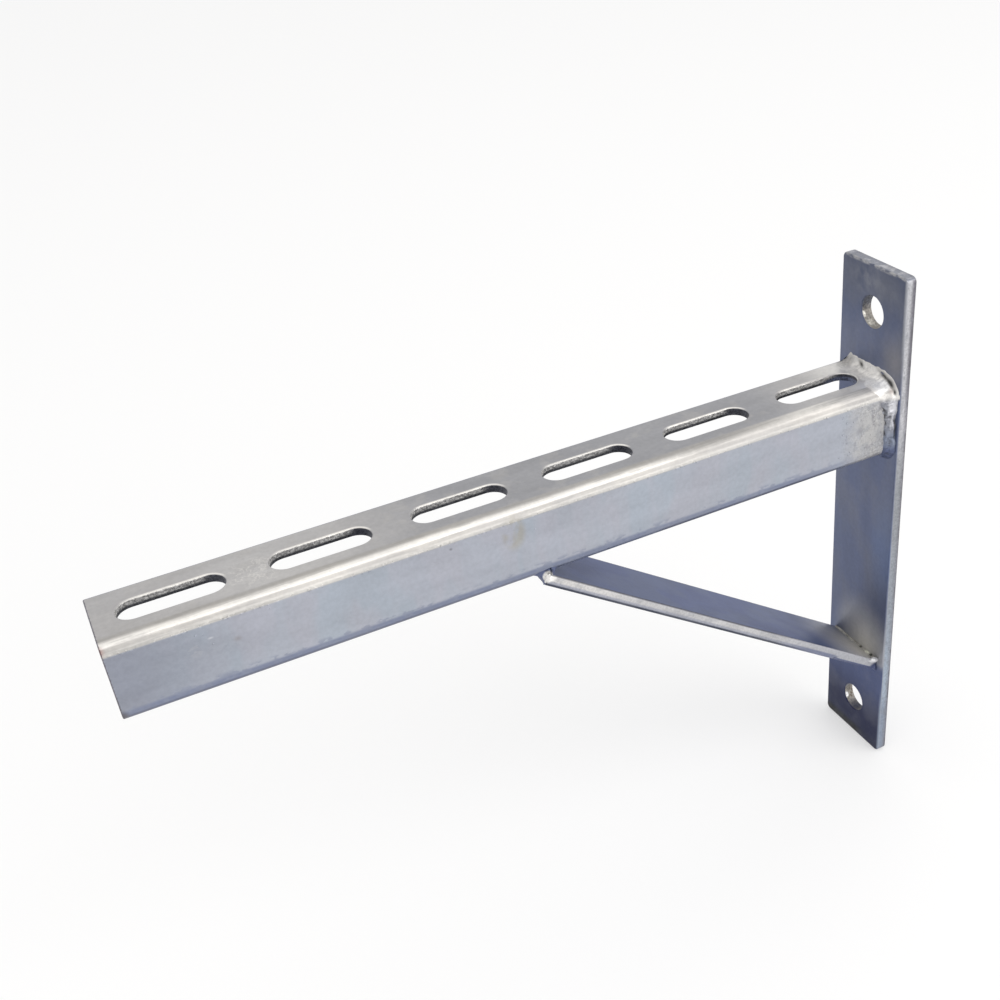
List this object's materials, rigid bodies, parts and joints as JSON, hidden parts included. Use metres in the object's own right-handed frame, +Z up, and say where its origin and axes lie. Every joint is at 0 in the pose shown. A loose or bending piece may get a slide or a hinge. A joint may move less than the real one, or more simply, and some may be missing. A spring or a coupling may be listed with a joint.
{
  "type": "cantilever strut arm",
  "caption": "Welded wall bracket arm: a slotted steel channel on a bolted back plate, held up by a slanting flat brace, hot-dip galvanised.",
  "frame": {"origin": "on the wall face of the back plate, midway between its two bolt holes", "axes": "+X out of the wall along the arm to its tip, +Z up, +Y to the side where the channel's web is"},
  "size_m": [0.4, 0.05, 0.3],
  "materials": {
    "galvanised_steel": "hot-dip galvanised, smooth grey zinc",
    "zinc_weld": "weld bead under hot-dip zinc"
  },
  "bodies": {
    "root": {"back_plate": "galvanised_steel", "channel_arm": "galvanised_steel", "brace_bar": "galvanised_steel", "arm_weld": "zinc_weld", "brace_top_weld": "zinc_weld", "brace_foot_weld": "zinc_weld", "brace_head_weld": "zinc_weld"}
  },
  "joints": []
}
